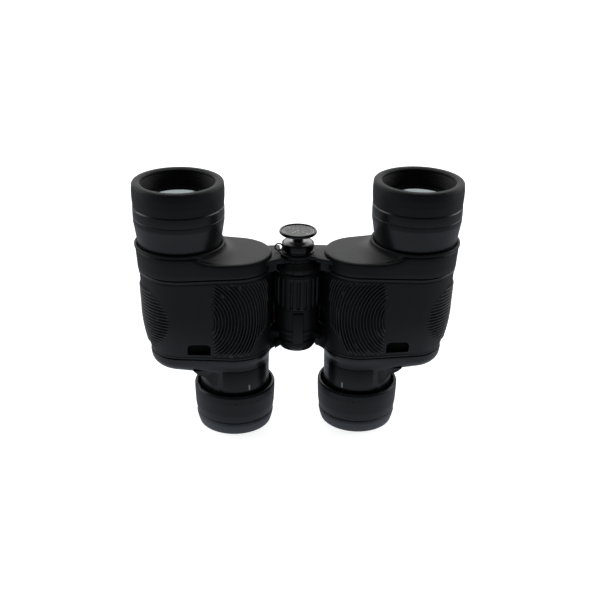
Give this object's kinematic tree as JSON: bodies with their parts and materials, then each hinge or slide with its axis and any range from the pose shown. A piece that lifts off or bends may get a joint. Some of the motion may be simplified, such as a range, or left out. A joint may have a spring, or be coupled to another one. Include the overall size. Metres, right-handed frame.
{
  "type": "binoculars",
  "caption": "Porro-prism binoculars standing on their eyecups, with rubber armour, centre focus wheel, turning eyepieces and a capped tripod socket.",
  "frame": {"origin": "midway between the eyepiece axes, in the plane of the eyecup rims", "axes": "+Z from the eyecups to the objectives, +X to the right barrel, -Y to the side of the focus wheel and the strap slots"},
  "size_m": [0.1816, 0.0504, 0.1482],
  "materials": {
    "hood_rubber": "soft matte rubber",
    "armour_rubber": "fine-grained matte rubber",
    "cover_plastic": "satin moulded plastic",
    "tube_plastic": "semi-gloss enamel",
    "ring_plastic": "satin moulded plastic",
    "cup_rubber": "soft matte rubber",
    "casting": "die-cast, sand-blasted",
    "black_anodised": "matte black anodised",
    "coated_glass": "polished and coated",
    "prism_glass": "polished with ground edges",
    "spring_steel": "plain spring steel",
    "axle_steel": "ground",
    "brass": "turned",
    "seal_rubber": "moulded O-ring",
    "white_paint": "inlaid paint",
    "wheel_rubber": "fluted hard rubber",
    "cap_plastic": "polished moulded plastic",
    "inlay_metal": "stamped satin disc",
    "screw_steel": "black-zinc plated"
  },
  "bodies": {
    "left_barrel": {"left_front_cover": "cover_plastic", "left_body_casting": "casting", "left_armour": "armour_rubber", "left_rear_cover": "cover_plastic", "left_objective_tube": "tube_plastic", "left_hood": "hood_rubber", "left_prism_shelf": "casting", "left_front_prism": "prism_glass", "left_rear_prism": "prism_glass", "left_prism_clips": "spring_steel", "left_index_mark": "white_paint", "left_cover_screws": "screw_steel", "hinge_axle": "axle_steel", "hinge_sleeve": "cover_plastic", "sleeve_key": "cover_plastic", "bridge_cover": "cover_plastic", "tripod_socket": "cap_plastic", "tether_loop": "spring_steel", "hinge_end_cap": "cap_plastic"},
    "right_barrel": {"right_front_cover": "cover_plastic", "right_body_casting": "casting", "right_armour": "armour_rubber", "right_rear_cover": "cover_plastic", "right_objective_tube": "tube_plastic", "right_hood": "hood_rubber", "right_prism_shelf": "casting", "right_front_prism": "prism_glass", "right_rear_prism": "prism_glass", "right_prism_clips": "spring_steel", "right_index_mark": "white_paint", "right_cover_screws": "screw_steel"},
    "focus_drive": {"focus_wheel": "wheel_rubber", "focus_screw": "brass"},
    "focus_carriage": {"focus_nut": "brass"},
    "tripod_cap_thread": {"tether_eye": "spring_steel"},
    "tripod_cap": {"cap_stem": "cap_plastic", "cap_disc": "cap_plastic", "cap_inlay": "inlay_metal"},
    "left_objective": {"left_objective_cell": "black_anodised", "left_objective_lens": "coated_glass", "left_lens_retainer": "black_anodised", "left_focus_arm": "spring_steel"},
    "left_ocular": {"left_ocular_tube": "black_anodised", "left_field_lens": "coated_glass", "left_eye_lens": "coated_glass", "left_ocular_seal": "seal_rubber"},
    "left_eye_ring": {"left_eyepiece_ring": "ring_plastic", "left_eyecup": "cup_rubber"},
    "right_objective": {"right_objective_cell": "black_anodised", "right_objective_lens": "coated_glass", "right_lens_retainer": "black_anodised", "right_focus_arm": "spring_steel"},
    "right_ocular": {"right_ocular_tube": "black_anodised", "right_field_lens": "coated_glass", "right_eye_lens": "coated_glass", "right_ocular_seal": "seal_rubber"},
    "right_eye_ring": {"right_eyepiece_ring": "ring_plastic", "right_eyecup": "cup_rubber"}
  },
  "joints": [
    {"name": "eye_spacing_hinge", "type": "hinge", "parent": "left_barrel", "child": "right_barrel", "pos_m": [0, 0.004, 0.075], "axis": [0, 0, 1], "range_deg": [0, 78]},
    {"name": "focus_carriage_slide", "type": "slide", "parent": "left_barrel", "child": "focus_carriage", "axis": [0, 0, 1], "range_m": [-0.001, 0.001]},
    {"name": "focus_wheel_turn", "type": "hinge", "parent": "left_barrel", "child": "focus_drive", "pos_m": [0, 0.004, 0.084], "axis": [0, 0, 1], "range_deg": [-120.1, 120.1]},
    {"name": "left_objective_slide", "type": "slide", "parent": "left_barrel", "child": "left_objective", "axis": [0, 0, 1], "range_m": [-0.00101, 0.00101]},
    {"name": "right_objective_slide", "type": "slide", "parent": "right_barrel", "child": "right_objective", "axis": [0, 0, 1], "range_m": [-0.00101, 0.00101]},
    {"name": "cap_lift", "type": "slide", "parent": "left_barrel", "child": "tripod_cap_thread", "axis": [0, 0, 1], "range_m": [0, 0.00445]},
    {"name": "cap_turn", "type": "hinge", "parent": "tripod_cap_thread", "child": "tripod_cap", "pos_m": [0, 0.004, 0.113], "axis": [0, 0, 1], "range_deg": [-0.2, 1260.5]},
    {"name": "left_ocular_slide", "type": "slide", "parent": "left_barrel", "child": "left_ocular", "axis": [0, 0, 1], "range_m": [-0.0012, 0.0012]},
    {"name": "left_eyepiece_turn", "type": "hinge", "parent": "left_ocular", "child": "left_eye_ring", "pos_m": [-0.0362, 0, 0.016], "axis": [0, 0, 1], "range_deg": [-45.1, 45.1]},
    {"name": "right_ocular_slide", "type": "slide", "parent": "right_barrel", "child": "right_ocular", "axis": [0, 0, 1], "range_m": [-0.0012, 0.0012]},
    {"name": "right_eyepiece_turn", "type": "hinge", "parent": "right_ocular", "child": "right_eye_ring", "pos_m": [0.0362, 0, 0.016], "axis": [0, 0, 1], "range_deg": [-45.1, 45.1]}
  ],
  "couplings": [
    {"joint": "focus_wheel_turn", "follows": "focus_carriage_slide", "rad_per_m": 2094.4},
    {"joint": "left_objective_slide", "follows": "focus_carriage_slide", "ratio": 1},
    {"joint": "right_objective_slide", "follows": "focus_carriage_slide", "ratio": 1},
    {"joint": "cap_turn", "follows": "cap_lift", "rad_per_m": 4947.4},
    {"joint": "left_eyepiece_turn", "follows": "left_ocular_slide", "rad_per_m": 654.5},
    {"joint": "right_eyepiece_turn", "follows": "right_ocular_slide", "rad_per_m": 654.5}
  ]
}
